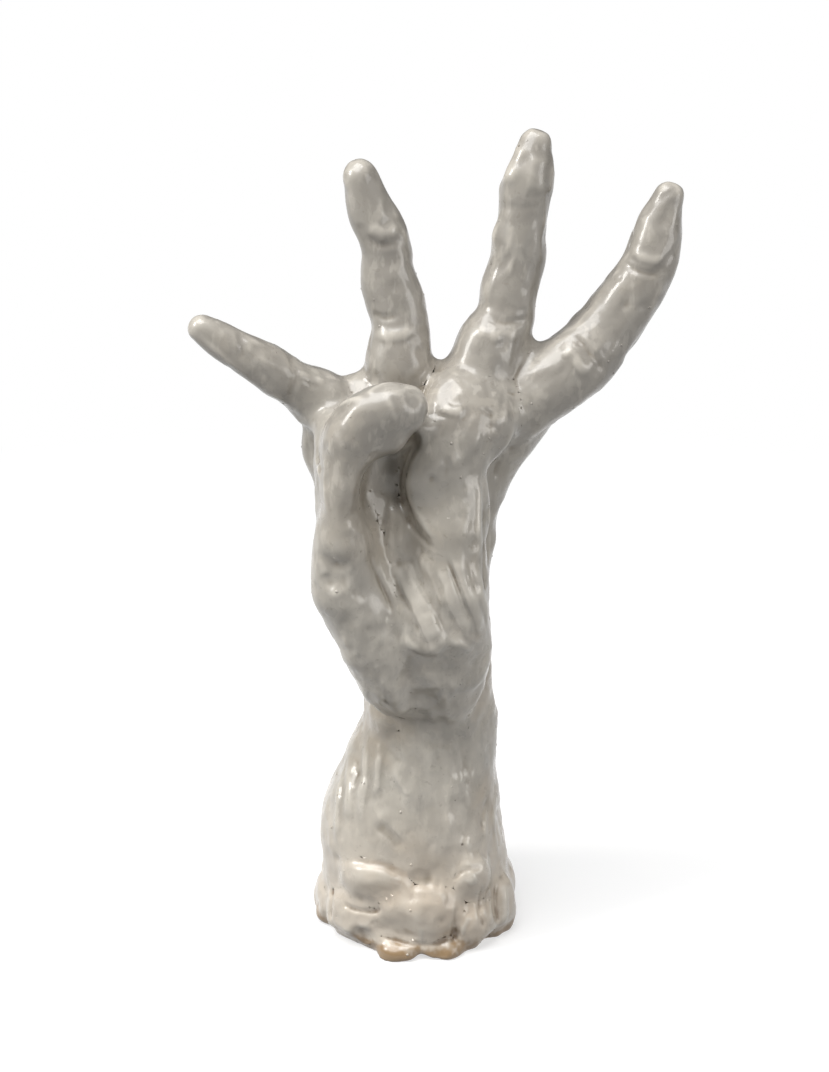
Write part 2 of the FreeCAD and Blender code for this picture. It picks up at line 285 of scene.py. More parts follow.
def work(points, normals, width, rise, edge=0.8, taper=0.3, lean=0.0):
    # raises the skin along points on it, or presses it in where rise is negative; edge is the share of the
    # half width that slopes, and a lean makes one side of the stroke higher
    half = width / 2
    cells = cellsBetween(points.min(0) - half, points.max(0) + half)
    x, y, z = placesOf(cells)
    distance = np.full([c.stop - c.start for c in cells], 99.0, np.float32)
    along = np.full(distance.shape, 0.5, np.float32)
    lateral = np.zeros(distance.shape, np.float32)
    count = len(points)
    for k in range(max(count - 1, 1)):
        a = points[k]
        way = points[min(k + 1, count - 1)] - a
        length = max(float(way @ way), 1e-6)
        share = np.clip(((x - a[0]) * way[0] + (y - a[1]) * way[1] + (z - a[2]) * way[2]) / length, 0, 1)
        dx, dy, dz = x - a[0] - share * way[0], y - a[1] - share * way[1], z - a[2] - share * way[2]
        away = np.sqrt(dx * dx + dy * dy + dz * dz)
        closer = away < distance
        distance = np.where(closer, away, distance)
        if count > 1:
            along = np.where(closer, (k + share) / (count - 1), along)
            side = unit(np.cross(way, normals[k]))
            lateral = np.where(closer, dx * side[0] + dy * side[1] + dz * side[2], lateral)
    height = eased((1 - distance / half) / edge)
    if count > 1:
        height = height * eased(np.minimum(along, 1 - along) / max(taper, 1e-3))
        height = height * np.clip(1 + lean * lateral / half, 0, 2) / (1 + abs(lean))
    field[cells] -= (rise * height).astype(np.float32)


pen = {
    "spacing": 4.0,                     # pixels between points
    "jump": 7.0,                        # the leap in millimetres that ends a stroke
}


def stroke(spots, width, rise, edge=0.8, taper=0.3, lean=0.0):
    points, normals = onClay(smoothPath(spots, pen["spacing"]))
    # a stroke ends where the clay falls away behind it
    jumps = np.flatnonzero(np.linalg.norm(np.diff(points, axis=0), axis=1) > pen["jump"])
    for run in np.split(np.arange(len(points)), jumps + 1):
        if len(run) > 1 or len(points) == 1:
            work(points[run], normals[run], width, rise, edge, taper, lean)


def strokes(rows, edge=0.8, taper=0.3):
    # each row: the spots that the stroke passes, its width and rise in millimetres, and a lean if it has one
    for spots, width, rise, *lean in rows:
        stroke(spots, width, rise, edge, taper, *lean)


def addClay(a, b, ra, rb, blend, name):
    reach = max(ra, rb) + blend + 1
    cells = cellsBetween(np.minimum(a, b) - reach, np.maximum(a, b) + reach)
    rods = rodDistance(cells, a, b, ra, rb)
    field[cells] = blendMin(field[cells], rods, blend)
    # the clay added belongs to a node
    own = nodeCells[name]
    both = tuple(slice(max(c.start, o.start), min(c.stop, o.stop)) for c, o in zip(cells, own))
    here = tuple(slice(c.start - o.start, c.stop - o.start) for c, o in zip(both, own))
    there = tuple(slice(c.start - o.start, c.stop - o.start) for c, o in zip(both, cells))
    nodeDistance[name][here] = np.minimum(nodeDistance[name][here], rods[there])


def blurred(values, spread):
    # a Gaussian blur, one direction after another
    reach = max(1, int(math.ceil(2.0 * spread / voxel)))
    weights = np.exp(-0.5 * (np.arange(-reach, reach + 1) * voxel / spread) ** 2)
    weights = (weights / weights.sum()).astype(np.float32)
    for direction in range(3):
        padded = np.pad(values, [(reach, reach) if k == direction else (0, 0) for k in range(3)], mode="edge")
        total = np.zeros_like(values)
        for number, weight in enumerate(weights):
            take = [slice(None)] * 3
            take[direction] = slice(number, number + values.shape[direction])
            total += weight * padded[tuple(take)]
        values = total
    return values


# the large forms, in millimetres: from, to, radii, blend

addClay((-30, -25, 184), (-32, -20, 214), 7, 6, 8, "palm_core")      # the palm's edge behind the thumb
addClay((-15, -16, 214), (-13, -20, 176), 10, 9, 9, "palm_core")     # the floor of the hollow under the thumb
addClay((-20, -24, 182), (-17, -27, 158), 6, 7, 9, "palm_core")      # its lower end and thumb side
addClay((-24, -38, 215), (-10, -38, 217), 7, 6, 9, "thumb")          # the hook's underside runs back into it
addClay((-27, -36, 158), (-27, -38, 176), 9, 8, 8, "thumb_mound")    # the thumb is smeared into its mound
addClay((-9, -14, 96), (14, -15, 96), 8.5, 8.5, 5, "heel_pad")       # the heel's underside meets the forearm
addClay((16, -32, 178), (18, -34, 158), 9, 8, 10, "heel_pad")        # the outer pad runs on into the heel
addClay((8, -31, 176), (10, -34, 160), 7, 7, 10, "heel_pad")


# the unevenness that hands leave: slow swellings, flats, dabs and smears

def unevenness(spacing):
    # random numbers on a coarse grid, drawn out smoothly over the fine one
    values = draw.standard_normal([int(n * voxel / spacing) + 3 for n in size]).astype(np.float32)
    for k in range(3):
        place = np.arange(size[k]) * voxel / spacing
        base = place.astype(int)
        share = eased(place - base).astype(np.float32).reshape([-1 if j == k else 1 for j in range(3)])
        values = np.take(values, base, axis=k) * (1 - share) + np.take(values, base + 1, axis=k) * share
    return values


swells = {
    "sizes": [(12.0, 0.36), (5.0, 0.12), (2.2, 0.03)],      # spacing and height in millimetres
    "lessOnFingers": 0.6, "fingersFrom": 225.0, "fingersFade": 12.0,
    "rim": (6.0, 1.1), "rimTop": 14.0, "rimFade": 8.0,      # the torn rim of the foot
}
slender = 1 - swells["lessOnFingers"] * eased((gridHeight - swells["fingersFrom"]) / swells["fingersFade"])
for spacing, height in swells["sizes"]:
    field += height * unevenness(spacing) * slender
spacing, height = swells["rim"]
field += height * unevenness(spacing) * eased((swells["rimTop"] - gridHeight) / swells["rimFade"])

# the forearm's bore and its end in the heel, with room to spare; marks keep off them, and off the sole
bore = {"radius": 34.0, "top": 92.0, "endRadius": 16.0, "endHalfDepth": 12.0, "endTop": 160.0, "sole": 3.0}


def inBore(points, normals, more=0.0, facing=0.0):
    # facing is how far outward the bore's wall may face
    radius = np.hypot(points[:, 0], points[:, 1])
    inward = (points[:, 0] * normals[:, 0] + points[:, 1] * normals[:, 1]) < facing * radius
    atEnd = (radius < bore["endRadius"] + more) & (np.abs(points[:, 1]) < bore["endHalfDepth"] + more)
    return ((inward & (radius < bore["radius"] + more) & (points[:, 2] < bore["top"]))
            | (atEnd & (points[:, 2] < bore["endTop"])))


def skinSpots(count):
    # random spots of the outer skin
    points = skinOf(field, everywhere)[0].astype(np.float64)
    points = points[draw.integers(0, len(points), count)]
    normals = unit(slopeOf(field, points, step=2.0))
    keep = ~inBore(points, normals, facing=0.2) & (points[:, 2] > bore["sole"])
    return points[keep], normals[keep]


def onSkin(points):
    # the nearest points of the skin, and its normals there
    for turn in range(3):
        points = points - unit(slopeOf(field, points)) * sampled(field, points)[:, None]
    return points, unit(slopeOf(field, points, step=2.0))


def evenSpots(points, normals):
    # spots away from creases and edges, where a dab would cut a hole
    probe, least = 3.0, 2.6
    keep = sampled(field, points + probe * normals) > least
    keep &= sampled(field, points - probe * normals) < -least
    return points[keep], normals[keep]


# the fingers, above a height, take smaller flats and fainter dabs
flats = {
    "count": 330, "width": (12.0, 24.0), "depth": (0.35, 0.9), "edge": 0.7,
    "fingersFrom": 226.0, "onFingers": 0.45,
}
points, normals = evenSpots(*skinSpots(flats["count"]))
for k in range(len(points)):
    slim = flats["onFingers"] if points[k, 2] > flats["fingersFrom"] else 1.0
    work(points[k:k + 1], normals[k:k + 1], draw.uniform(*flats["width"]) * slim,
         -draw.uniform(*flats["depth"]) * slim, edge=flats["edge"])

dabs = {
    "count": 2300, "width": (3.5, 8.0), "depth": (0.14, 0.42), "edge": 0.75,
    "fingersFrom": 215.0, "onFingers": 0.55, "elsewhere": 0.9,
}
points, normals = evenSpots(*skinSpots(dabs["count"]))
for k in range(len(points)):
    faint = dabs["onFingers"] if points[k, 2] > dabs["fingersFrom"] else dabs["elsewhere"]
    work(points[k:k + 1], normals[k:k + 1], draw.uniform(*dabs["width"]),
         -draw.uniform(*dabs["depth"]) * faint, edge=dabs["edge"])

smears = {
    "count": 760, "length": (9.0, 26.0), "width": (2.6, 6.5), "height": (0.2, 0.6),
    "raised": 0.45, "lean": 0.9, "edge": 0.45, "taper": 0.4,
    "stray": 0.22,                     # how far a smear strays from the way of its limb
    "facing": 0.3, "stretch": 2.0, "slack": 0.5,
}
# the way that smears run on each limb, and where one limb ends and the next begins
limbs = {
    "index": (-0.81, 0, 0.58), "middle": (-0.16, 0, 0.98), "ring": (0.24, 0, 0.96), "little": (0.55, 0, 0.82),
    "palm": (0.12, 0, 1.0), "forearm": (0.0, 0, 1.0),
    "palmFrom": 100.0, "fingersFrom": 222.0,
    "indexTo": -36.0, "middleTo": 6.0, "littleFrom": 30.0, "littleFan": 0.35, "fanFrom": 225.0,
}


def limbWay(point):
    x, y, z = point
    if z <= limbs["fingersFrom"]:
        return limbs["palm"] if z > limbs["palmFrom"] else limbs["forearm"]
    if x < limbs["indexTo"]:
        return limbs["index"]
    if x < limbs["middleTo"]:
        return limbs["middle"]
    if x > limbs["littleFrom"] + (z - limbs["fanFrom"]) * limbs["littleFan"]:
        return limbs["little"]
    return limbs["ring"]


points, normals = evenSpots(*skinSpots(smears["count"]))
for k in range(len(points)):
    way = unit(np.array(limbWay(points[k])) + draw.normal(0, smears["stray"], 3))
    length = draw.uniform(*smears["length"])
    steps = np.linspace(-0.5, 0.5, 7)[:, None] * length
    path, ways = onSkin(points[k] + (way - normals[k] * (way @ normals[k])) * steps)
    rise = draw.uniform(*smears["height"]) * (1 if draw.random() < smears["raised"] else -1)
    lean = draw.uniform(-smears["lean"], smears["lean"])
    gaps = np.linalg.norm(np.diff(path, axis=0), axis=1)
    wraps = (ways @ normals[k]).min() < smears["facing"]
    if wraps or gaps.max() > smears["stretch"] * gaps.min() + smears["slack"]:
        continue                       # it would wrap round an edge or leap over a crease
    work(path, ways, draw.uniform(*smears["width"]), rise, smears["edge"], smears["taper"], lean)
print("dabs and smears pressed")

# the finger strokes of the heel, the creases between them, and its scalloped lower edge

strokes([
    ([(396, 664), (424, 672), (452, 668), (486, 672)], 22.0, -2.2),      # the underside falls back
    ([(400, 636), (428, 650), (450, 640), (480, 646)], 9.0, 1.4),
], edge=0.9, taper=0.15)
strokes([
    ([(382, 552), (390, 578), (402, 606), (414, 634)], 9.0, 1.0, 0.5),
    ([(399, 498), (397, 524), (396, 548), (401, 566)], 8.0, 1.4, 0.3),
    ([(400, 560), (412, 588), (426, 618), (442, 654)], 8.4, 2.1, 0.1),
    ([(418, 546), (430, 572), (440, 594), (447, 612)], 6.0, 1.2, 0.4),
    ([(438, 560), (449, 584), (456, 606), (474, 640)], 6.2, 2.0, 0.4),
    ([(454, 548), (462, 572), (472, 600), (484, 640)], 6.4, 2.0, 0.3),
    ([(472, 560), (480, 590), (489, 626)], 5.0, 1.5, 0.3),
], edge=0.36, taper=0.25)
strokes([
    ([(419, 560), (432, 590), (444, 620)], 2.4, -1.1),
    ([(446, 556), (455, 580), (462, 602)], 2.2, -1.0),
    ([(465, 566), (471, 594)], 1.8, -0.8),
    ([(367, 543), (374, 568), (388, 599), (403, 627)], 4.0, -1.7, -0.5),
    ([(405, 631), (424, 650), (436, 660)], 5.0, -0.5),
    ([(452, 636), (464, 640), (480, 650)], 4.0, -1.0),
    ([(430, 672), (440, 690)], 10.0, 0.8),
    ([(388, 690), (400, 706), (408, 728)], 7.0, 0.6),
    ([(487, 650), (480, 672), (486, 690)], 2.4, -0.9),
], edge=0.8, taper=0.3)

# the outer pad is turned over at its lower edge, and its right side is a scored plane

stroke([(444, 428), (434, 450), (424, 470), (421, 492), (430, 510), (443, 524), (456, 533)], 16.0, 2.8,
       edge=0.42, taper=0.3, lean=0.8)
strokes([
    ([(424, 424), (408, 452), (399, 478), (400, 502), (410, 524), (428, 544), (446, 556)], 2.6, -1.3, -0.3),
    ([(466, 438), (468, 470), (466, 510)], 13.0, -0.6),
    ([(480, 476), (479, 520), (478, 566)], 3.0, 1.6, 0.6),
    ([(484, 496), (484, 560), (485, 604)], 2.4, -1.6),
    ([(489, 506), (488, 570)], 2.0, 1.0),
    ([(492, 486), (491, 530)], 2.0, -0.9),
], edge=0.7)

# creases at the roots of the fingers, and knuckles

strokes([
    ([(434, 414), (442, 417), (450, 414)], 2.0, -0.8),
    ([(478, 408), (486, 411), (495, 419)], 2.0, -1.0),
    ([(484, 424), (494, 427), (500, 435)], 2.0, -0.8),
    ([(503, 392), (512, 393), (515, 398)], 2.0, -1.0),
    ([(440, 405), (452, 412), (466, 408)], 6.0, 0.8),
    ([(362, 236), (382, 246), (405, 238)], 4.0, -0.9),
    ([(364, 226), (384, 232), (402, 226)], 6.0, 0.6),
    ([(368, 312), (385, 318), (402, 314)], 3.6, -0.9),
    ([(370, 330), (392, 336), (420, 330)], 7.0, 0.8),
    ([(503, 204), (520, 209), (545, 205)], 3.6, -0.3),
    ([(482, 316), (505, 323), (534, 318)], 4.0, -0.9),
    ([(472, 328), (498, 336), (526, 332)], 7.0, 0.6),
    ([(622, 262), (640, 272), (664, 276)], 3.2, -1.0),
    ([(628, 250), (646, 258), (668, 262)], 6.0, 0.6),
    ([(568, 334), (582, 344), (606, 372)], 4.0, -1.0),
    ([(560, 344), (572, 356), (590, 378)], 7.0, 0.8),
    ([(238, 330), (243, 348), (240, 362)], 4.0, -0.7),
    ([(288, 350), (296, 374), (290, 402)], 4.0, -0.7),
    ([(654, 214), (662, 236), (652, 252)], 6.0, -0.4),
    ([(526, 140), (513, 164), (506, 190)], 11.0, 1.2),
    ([(540, 146), (536, 172), (534, 200)], 12.0, 0.9),
    ([(556, 148), (552, 176), (550, 202)], 8.0, 0.8),
    ([(630, 290), (626, 312)], 6.0, -0.6),
    ([(506, 334), (500, 352)], 6.0, -0.5),
])

# the thumb and the bump at its root

strokes([
    ([(420, 441), (404, 449), (390, 457)], 2.6, 0.9, -0.4),
    ([(331, 440), (326, 462), (325, 492), (329, 522)], 4.0, 0.9, 0.5),
    ([(308, 432), (314, 452), (321, 482)], 3.0, 0.7),
    ([(322, 424), (317, 446), (321, 474)], 2.6, -0.9),
    ([(330, 562), (340, 567), (354, 562)], 6.0, -0.5),
    ([(318, 556), (324, 566), (326, 578)], 6.0, 0.9),
    ([(322, 572), (336, 584), (356, 582)], 10.0, -0.5),
    ([(336, 408), (350, 400), (366, 398)], 4.0, 0.6),
])

# the forearm's long smears on its left side, and the lines at the neck

strokes([
    ([(352, 752), (350, 790), (349, 826)], 6.0, 1.6, 0.5),
    ([(366, 738), (364, 780), (358, 824)], 5.0, 1.3, -0.5),
    ([(380, 740), (378, 780), (374, 806)], 4.0, 1.2, 0.5),
    ([(343, 770), (338, 800), (337, 840)], 4.0, 1.2),
    ([(392, 768), (400, 784), (408, 798)], 3.4, 1.2, -0.8),
    ([(392, 740), (390, 780), (388, 826)], 12.0, -0.6, 0.3),
    ([(372, 820), (392, 838), (404, 852)], 6.0, -1.0),
    ([(376, 700), (388, 708), (398, 718)], 2.2, 1.2),
    ([(382, 700), (391, 709)], 2.0, -0.8),
    ([(492, 800), (494, 830), (498, 858)], 3.0, 1.2),
    ([(484, 806), (486, 840)], 2.6, 1.0),
    ([(465, 836), (470, 850), (474, 862)], 3.4, 1.3, 0.5),
    ([(430, 750), (434, 790), (432, 826)], 14.0, -0.9),
    ([(461, 730), (466, 760), (470, 780)], 6.0, -0.9, 0.6),
    ([(376, 664), (378, 673)], 1.8, 0.8),
    ([(382, 678), (384, 690)], 1.8, 0.8),
], edge=0.5)

# the foot: torn slabs, cracks between them, ribs at the right

strokes([
    ([(346, 880), (372, 878), (400, 884)], 11.0, 1.2, 0.3),
    ([(356, 922), (372, 926)], 7.0, 0.6),
    ([(404, 882), (420, 880), (436, 881)], 10.0, -1.3),
    ([(342, 860), (362, 862), (386, 866), (416, 882)], 6.0, -1.3),
    ([(478, 876), (466, 884)], 7.0, 0.9),
    ([(386, 905), (402, 899), (430, 897), (458, 906)], 6.0, -0.4),
], edge=0.9, taper=0.3)
strokes([
    ([(341, 902), (352, 909), (365, 912), (375, 912), (382, 907)], 2.0, -3.0),
    ([(332, 888), (331, 904), (330, 921)], 2.6, -2.8, 0.5),
    ([(376, 934), (392, 940), (408, 944), (430, 945), (452, 939)], 2.8, -2.8, -0.5),
    ([(458, 906), (455, 924), (453, 946)], 2.8, -2.4, 0.4),
    ([(470, 914), (463, 930), (460, 944)], 3.0, 1.4, 0.5),
    ([(484, 884), (480, 906), (485, 930)], 3.0, -2.8, 0.4),
    ([(489, 884), (489, 906), (493, 926)], 3.4, 1.8),
    ([(496, 884), (496, 906), (499, 924)], 2.4, -2.4),
    ([(504, 882), (505, 906), (503, 926)], 5.0, 1.4),
    ([(453, 882), (464, 871), (484, 867)], 3.0, -2.2, -0.5),
    ([(356, 935), (366, 944), (378, 940)], 3.0, 0.8),
    ([(404, 962), (418, 966), (434, 962)], 3.0, -0.5),
], edge=0.9, taper=0.2)

# pits: spot, width and depth
pits = [
    ((332, 892), 3.6, 3.4), ((372, 924), 1.8, 1.3), ((377, 922), 2.0, 1.5), ((337, 563), 2.6, 0.9),
    ((368, 629), 1.9, 1.3), ((397, 240), 1.8, 1.1), ((398, 310), 1.9, 1.3), ((620, 278), 1.9, 1.3),
    ((459, 429), 1.4, 0.9), ((470, 474), 1.4, 0.8), ((410, 832), 2.4, 1.2), ((422, 408), 2.4, 0.5),
]
for spot, width, depth in pits:
    stroke([spot], width, -depth, edge=1.0)
print("strokes laid")

# the glaze fills the sharpest corners
field = blurred(field, clay["glazeFill"])

# nothing grows past the box of the solids
solidLow, solidHigh = boxLow + clay["margin"], boxHigh - clay["margin"]
for k, places in enumerate(placesOf(everywhere)):
    field = np.maximum(field, np.maximum(solidLow[k] - places, places - solidHigh[k]))


# dividing the clay into pieces: each cell goes to the nearest node, and half way to the second is a cut

first = np.full(tuple(size), band + 1, np.float32)
second = np.full(tuple(size), band + 1, np.float32)
for name in nodeNames:
    cells = nodeCells[name]
    distance = nodeDistance[name]
    nearer = distance < first[cells]
    second[cells] = np.where(nearer, first[cells], np.minimum(second[cells], distance))
    first[cells] = np.where(nearer, distance, first[cells])
print("owners found")

cutting = {
    "reach": 6.0, "above": 3.0, "depth": 5.0, "turn": 2.0,      # where a cut turns to meet the skin squarely
    "seam": 0.9, "mostMove": 0.8, "skin": 0.3,                  # in cells
    "sideBySide": 0.85, "steady": 0.02,                         # where skin and cut hardly cross
    "agreement": 0.35,                                          # of the clay's slope and the mesh's normals
    "fineHollows": 1.4, "broadHollows": 4.0,                    # the blurs that tell creases and hollows
}
steepness = [part.astype(np.float32) for part in np.gradient(field, voxel)]
fineBlur = blurred(field, cutting["fineHollows"])
broadBlur = blurred(field, cutting["broadHollows"])
print("hollows found")


def pieceArrays(name):
    cells = nodeCells[name]
    low = [c.start for c in cells]
    distance = nodeDistance[name]
    other = np.where(distance <= first[cells], second[cells], first[cells])
    cut = (distance - other) / 2
    # near the skin the cut goes straight down into the clay, so no piece ends in a feather edge
    values = field[cells]
    near = (np.abs(cut) < cutting["reach"]) & (values > -cutting["depth"]) & (values < cutting["above"])
    places = np.stack(np.nonzero(near), 1)
    depth = values[near]
    outward = unit(np.stack([part[cells][near] for part in steepness], 1))
    # the spot of the skin nearest to each cell
    footing = (places + np.array(low) + start) * voxel - outward * depth[:, None]
    footing = footing - outward * (0.7 * sampled(field, footing))[:, None]
    share = eased((depth + cutting["depth"]) / cutting["turn"])
    cut[near] = (cut[near] * (1 - share) + sampled(cut, footing, low) * share).astype(np.float32)
    points, triangles, quads = skinOf(np.maximum(values, cut), cells)
    points = points.astype(np.float64)
    # points by the line where skin and cut cross are moved to it, unless the two run nearly side by side
    seam = np.abs(sampled(field, points)) < cutting["seam"] * voxel
    seam &= np.abs(sampled(cut, points, low)) < cutting["seam"] * voxel
    sideness = np.abs(np.sum(unit(slopeOf(field, points)) * unit(slopeOf(cut, points, low)), 1))
    seam &= sideness < cutting["sideBySide"]
    spots = points[seam]
    home = spots.copy()
    for turn in range(4):
        slopes = np.stack([slopeOf(field, spots), slopeOf(cut, spots, low)], 1)
        wrong = np.stack([sampled(field, spots), sampled(cut, spots, low)], 1)
        square = slopes @ slopes.transpose(0, 2, 1) + cutting["steady"] * np.eye(2)
        spots = spots - (slopes.transpose(0, 2, 1) @ np.linalg.solve(square, wrong[:, :, None]))[:, :, 0]
        moved = spots - home
        far = np.linalg.norm(moved, axis=1, keepdims=True)
        spots = home + moved * np.minimum(1, cutting["mostMove"] * voxel / np.maximum(far, 1e-6))
    points[seam] = spots
    outer = np.abs(sampled(field, points)) < np.abs(sampled(cut, points, low)) + cutting["skin"] * voxel
    outer |= seam
    normals = np.where(outer[:, None], slopeOf(field, points, step=1.0), slopeOf(cut, points, low))
    return points, triangles, quads, unit(normals)


def meshFrom(name, points, triangles, quads):
    mesh = bpy.data.meshes.new(name)
    mesh.vertices.add(len(points))
    mesh.vertices.foreach_set("co", ((points + axisPlace) / 1000).astype(np.float32).ravel())
    corners = np.concatenate([quads.ravel(), triangles.ravel()]).astype(np.int32)
    totals = np.concatenate([np.full(len(quads), 4), np.full(len(triangles), 3)]).astype(np.int32)
    mesh.loops.add(len(corners))
    mesh.loops.foreach_set("vertex_index", corners)
    mesh.polygons.add(len(totals))
    mesh.polygons.foreach_set("loop_start", np.r_[0, np.cumsum(totals)[:-1]].astype(np.int32))
    mesh.polygons.foreach_set("use_smooth", np.ones(len(totals), bool))
    mesh.update(calc_edges=True)
    return mesh


def addAttribute(mesh, name, values):
    layer = mesh.attributes.new(name, "FLOAT", "POINT")
    layer.data.foreach_set("value", values.astype(np.float32))


pieces = {}
slotOf = {row["node"]: row["material_slot"] for row in frame["record"]["subparts"]}
for name in nodeNames:
    points, triangles, quads, normals = pieceArrays(name)
    mesh = meshFrom(name + "_clay", points, triangles, quads)
    # how far each spot lies in a crease (below nought on ridges) and in a broad hollow; the glaze paints
    # shade into both and highlight onto the ridges
    addAttribute(mesh, "hollow", -sampled(fineBlur, points))
    addAttribute(mesh, "deep", -sampled(broadBlur, points))
    plain = np.empty(len(points) * 3, np.float32)
    mesh.vertex_normals.foreach_get("vector", plain)
    plain = plain.reshape(-1, 3)
    # where the clay's slope tells little, in the tightest corners, the mesh's own normals stand
    opposed = np.sum(plain * normals, 1) < cutting["agreement"]
    normals[opposed] = plain[opposed]
    mesh.normals_split_custom_set_from_vertices(normals)
    piece = bpy.data.objects.new(name + "_clay", mesh)
    bpy.context.collection.objects.link(piece)
    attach(piece, "root")
    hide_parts(name)
    pieces[name] = piece
print("pieces made", sum(len(piece.data.polygons) for piece in pieces.values()), "faces")


# materials

def linear(code):
    parts = [int(code[k:k + 2], 16) / 255 for k in (1, 3, 5)]
    return [c / 12.92 if c <= 0.04045 else ((c + 0.055) / 1.055) ** 2.4 for c in parts] + [1.0]


def addNode(tree, kind, settings=None, values=None, links=None):
    node = tree.nodes.new(kind)
    for name, value in (settings or {}).items():
        setattr(node, name, value)
    for name, value in (values or {}).items():
        node.inputs[name].default_value = value
    for name, source in (links or {}).items():
        tree.links.new(source, node.inputs[name])
    return node


def newTree(material):
    material.use_nodes = True
    material.node_tree.nodes.clear()
    return material.node_tree


# tin glaze over pale stoneware, dipped by hand and fired to a gloss: milky, brown where it gathers in creases
# and darker there and in broad hollows as painted shade, lighter on ridges as painted highlight, greyer up
# the hand as painted shade, lighter towards the foot as painted light, with slow grey clouds, short runs and
# a few pinholes

glaze = {
    # edge also paints highlight on the ridges, low paints light towards the foot, cloud and high paint shade
    # up the hand, and the creases' brown paints shade in creases and hollows
    "milk": "#cbc5ba", "cloud": "#a7a299", "warm": "#bbad99", "poolAndShade": "#756a5a", "edge": "#d8d2c7",
    "pit": "#5d5247", "low": "#dccfbe", "high": "#918c85", "clay": "#a38c6e",
    # size of the blotches in millimetres, detail, stretch, seed
    "noises": {
        "clouds": (26.0, 4.0, (1.0, 1.0, 1.0), 0.0), "runs": (7.0, 3.0, (1.0, 1.0, 0.3), 3.0),
        "warmth": (36.4, 3.0, (1.0, 1.0, 1.0), 7.0), "mottle": (4.5, 3.0, (1.0, 1.0, 0.6), 17.0),
        "veins": (8.0, 4.0, (1.0, 1.0, 0.7), 25.0), "streaks": (5.0, 3.0, (1.0, 1.0, 0.35), 31.0),
        "specks": (2.4, 2.0, (1.0, 1.0, 1.0), 11.0), "wipes": (6.0, 2.0, (1.0, 1.0, 1.0), 5.0),
        "bubbles": (30.0, 1.0, (1.0, 1.0, 1.0), 21.0), "grain": (0.9, 2.0, (1.0, 1.0, 1.0), 2.0),
        "ripple": (3.2, 2.0, (1.0, 1.0, 1.0), 9.0), "sheen": (9.0, 2.0, (1.0, 1.0, 1.0), 13.0),
    },
    # one over another: what the layer follows, from, to, its share, its colour
    "layers": [
        ("clouds", 0.40, 0.64, 0.75, "cloud"),
        ("runs", 0.46, 0.70, 0.40, "cloud"),
        ("warmth", 0.46, 0.68, 0.55, "warm"),
        ("mottle", 0.50, 0.66, 0.45, "cloud"),
        ("height", 0.11, 0.20, 0.60, "cloud"),       # painted shade: greyer on the hand, where it lies in shade; in metres above the floor
        ("veins", 0.46, 0.52, 0.45, "high"),
        ("streaks", 0.56, 0.64, 0.50, "edge"),
        ("specks", 0.62, 0.74, 0.25, "poolAndShade"),
        ("height", 0.195, 0.245, 0.50, "high"),      # painted shade: greyest on the fingers, which lie in shade
        ("height", 0.075, 0.015, 0.55, "low"),       # painted light: lighter towards the foot, whose pads face the lamps; warmer there too, where the glaze is thin and was wiped
        ("hollow", -0.06, -0.45, 0.60, "edge"),      # painted highlight: lighter on the ridges
        ("hollow", 0.12, 0.75, 0.80, "poolAndShade"),        # brown where the glaze gathered in the creases, and painted shade there
        # painted shade: darker in the broad hollows, with the brown of gathered glaze
        ("deep", 0.5, 2.2, 0.60, "poolAndShade"),
    ],
    "brushed": ("mottle", "veins", "streaks"),       # the fingers were brushed, the rest dipped
    "brushedFrom": 0.19, "brushedTo": 0.23, "dipped": 0.4,
    "wipedTo": -0.006, "wipedEdge": 0.004, "wipedWaves": -0.012,
    "pinholeMm": 11.0, "pinholeRim": 0.055, "pinholeFloor": 0.03, "pinholeDark": 0.8,
    "bubblyFrom": 0.47, "bubblyTo": 0.55,
    # strength and depth in metres of the ripples, the grain and the pinholes
    "ripple": (0.35, 0.00016), "grain": (0.25, 0.00005), "pinholes": (0.7, 0.0003),
    "roughness": 0.3, "smoother": 0.06, "rougher": 0.12, "sheenFrom": 0.3, "sheenTo": 0.7,
    "ior": 1.5, "coat": 0.38, "coatRoughness": 0.07,
}


def noiseOn(tree, place, spacing, detail, stretch, seed):
    # a noise whose blotches are as large as spacing, in millimetres
    scaled = addNode(tree, "ShaderNodeMapping", values={
        "Location": (seed, seed * 0.7, -seed), "Scale": stretch}, links={"Vector": place})
    return addNode(tree, "ShaderNodeTexNoise", values={
        "Scale": 1000.0 / spacing, "Detail": detail, "Roughness": 0.55},
        links={"Vector": scaled.outputs["Vector"]}).outputs["Fac"]


def ramp(tree, value, low, high, toLow, toHigh):
    return addNode(tree, "ShaderNodeMapRange", values={
        "From Min": low, "From Max": high, "To Min": toLow, "To Max": toHigh},
        links={"Value": value}).outputs["Result"]


def between(tree, value, low, high):
    # 0 at low and 1 at high, with soft ends
    return addNode(tree, "ShaderNodeMapRange", {"interpolation_type": "SMOOTHSTEP"},
                   {"From Min": low, "From Max": high}, {"Value": value}).outputs["Result"]


def mixed(tree, share, one, other):
    # the colour sockets of a mix node are 6 and 7, and 2 at its other side
    node = addNode(tree, "ShaderNodeMix", {"data_type": "RGBA"}, links={0: share})
    for socket, colour in ((6, one), (7, other)):
        if isinstance(colour, str):
            node.inputs[socket].default_value = linear(colour)
        else:
            tree.links.new(colour, node.inputs[socket])
    return node.outputs[2]


def times(tree, one, other):
    node = addNode(tree, "ShaderNodeMath", {"operation": "MULTIPLY"}, links={0: one})
    if isinstance(other, float):
        node.inputs[1].default_value = other
    else:
        tree.links.new(other, node.inputs[1])
    return node.outputs[0]


def bumped(tree, height, relief, normal=None, invert=False):
    links = {"Height": height}
    if normal is not None:
        links["Normal"] = normal
    return addNode(tree, "ShaderNodeBump", {"invert": invert}, {
        "Strength": relief[0], "Distance": relief[1]}, links).outputs["Normal"]


